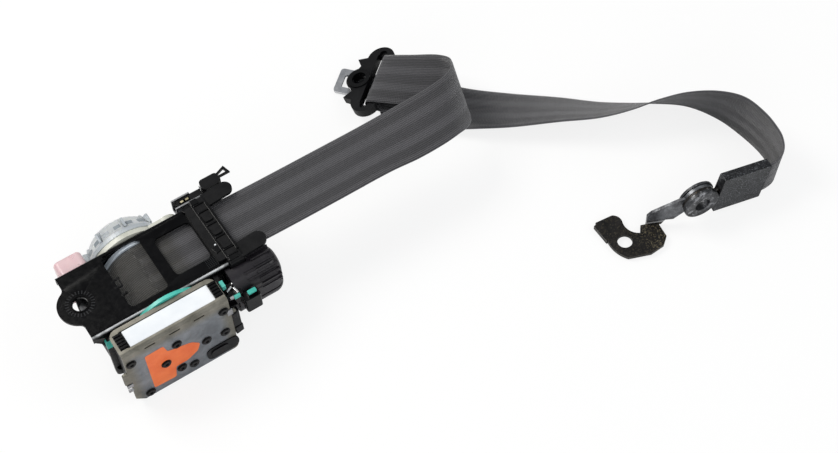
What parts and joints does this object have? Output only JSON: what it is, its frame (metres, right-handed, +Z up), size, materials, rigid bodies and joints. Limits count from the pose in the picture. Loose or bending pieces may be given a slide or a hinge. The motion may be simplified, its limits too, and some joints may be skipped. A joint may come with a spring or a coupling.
{
  "type": "seat belt retractor",
  "caption": "Emergency locking retractor with pretensioner, its webbing run through a tongue and pillar loop to a swivelling floor anchor.",
  "frame": {"origin": "centre of the retractor's bolt hole, on the top face of its back plate", "axes": "+X along the retractor from its bolt hole towards the belt exit, +Y along the spool axis towards the spring side, +Z up along the bolt"},
  "size_m": [0.5523, 0.2971, 0.0746],
  "materials": {
    "black_steel": "electrocoated black, satin",
    "plain_steel": "bright machined steel",
    "zinc_steel": "zinc plated sheet, dull grey",
    "cast_spool": "die cast, pale",
    "webbing": "dark grey woven polyester",
    "black_plastic": "moulded, fine grain",
    "plum_plastic": "moulded, dark purple grey",
    "teal_plastic": "moulded teal",
    "cream_plastic": "moulded cream",
    "clouded_plastic": "moulded, translucent white",
    "pink_plastic": "moulded, translucent pink",
    "brass": "tinned terminals",
    "spring_steel": "blued spring strip",
    "weathered_steel": "black coated, gritty wear",
    "silver_steel": "bright plated"
  },
  "bodies": {
    "retractor_body": {"retractor_frame": "black_steel", "tie_bar_rear": "zinc_steel", "tie_bar_front": "zinc_steel", "pawl_pin": "plain_steel", "spring_base_plate": "cream_plastic", "spring_case": "clouded_plastic", "mainspring": "spring_steel", "sensor_cap": "pink_plastic", "sensor_cup": "black_plastic", "inertia_ball": "plain_steel", "sensor_lever_pin": "plain_steel", "bearing_plate": "teal_plastic", "gearbox_housing": "black_plastic", "gearbox_cover": "zinc_steel", "cover_rivets": "black_steel", "gas_generator": "silver_steel", "igniter_plug": "black_plastic", "igniter_latch": "teal_plastic", "ribbed_cover": "plum_plastic", "webbing_guide": "black_plastic", "socket_bracket": "zinc_steel", "sensor_socket": "black_plastic", "socket_terminals": "brass", "harness_clip": "black_plastic", "webbing_shoulder_run": "webbing", "webbing_fold": "webbing", "webbing_lap_run": "webbing", "end_plate": "weathered_steel", "swivel_eyelet": "weathered_steel", "anchor_sleeve": "black_plastic"},
    "spool_body": {"spool": "cast_spool", "torsion_bar": "plain_steel", "webbing_roll": "webbing", "spring_arbor": "black_plastic", "drive_pinion": "plain_steel"},
    "pawl_body": {"locking_pawl": "plain_steel"},
    "sensor_lever_body": {"sensor_lever": "cream_plastic"},
    "piston_body": {"drive_piston": "plain_steel"},
    "loop_body": {"pillar_loop_cover": "black_plastic", "pillar_loop_core": "plain_steel", "pillar_loop_bush": "black_steel"},
    "tongue_body": {"tongue_plate": "silver_steel", "tongue_grip": "black_plastic"},
    "anchor_body": {"anchor_bracket": "weathered_steel"}
  },
  "joints": [
    {"name": "spool_spin", "type": "hinge", "parent": "retractor_body", "child": "spool_body", "pos_m": [0.054, 0, -0.03], "axis": [0, 1, 0], "continuous": true},
    {"name": "pawl_swing", "type": "hinge", "parent": "retractor_body", "child": "pawl_body", "pos_m": [0.093, 0.0255, -0.033], "axis": [0, 1, 0], "range_deg": [0, 9]},
    {"name": "sensor_lever_lift", "type": "hinge", "parent": "retractor_body", "child": "sensor_lever_body", "pos_m": [0.0023, 0.039, -0.0234], "axis": [0, -1, 0], "range_deg": [0, 10]},
    {"name": "piston_stroke", "type": "slide", "parent": "retractor_body", "child": "piston_body", "axis": [-1, 0, 0], "range_m": [0, 0.045]},
    {"name": "pillar_loop_tilt", "type": "hinge", "parent": "retractor_body", "child": "loop_body", "pos_m": [0.3113, 0.0835, -0.053], "axis": [0.7672, 0.6414, 0], "range_deg": [0, 20], "deforming": ["webbing_fold"]},
    {"name": "tongue_slide", "type": "slide", "parent": "retractor_body", "child": "tongue_body", "axis": [0.6414, -0.7672, 0], "range_m": [0, 0.02], "deforming": ["webbing_lap_run", "webbing_fold"]},
    {"name": "anchor_swivel", "type": "hinge", "parent": "retractor_body", "child": "anchor_body", "pos_m": [0.4519, -0.1614, -0.043], "axis": [0.1323, 0.9912, 0], "range_deg": [0, 60]}
  ]
}
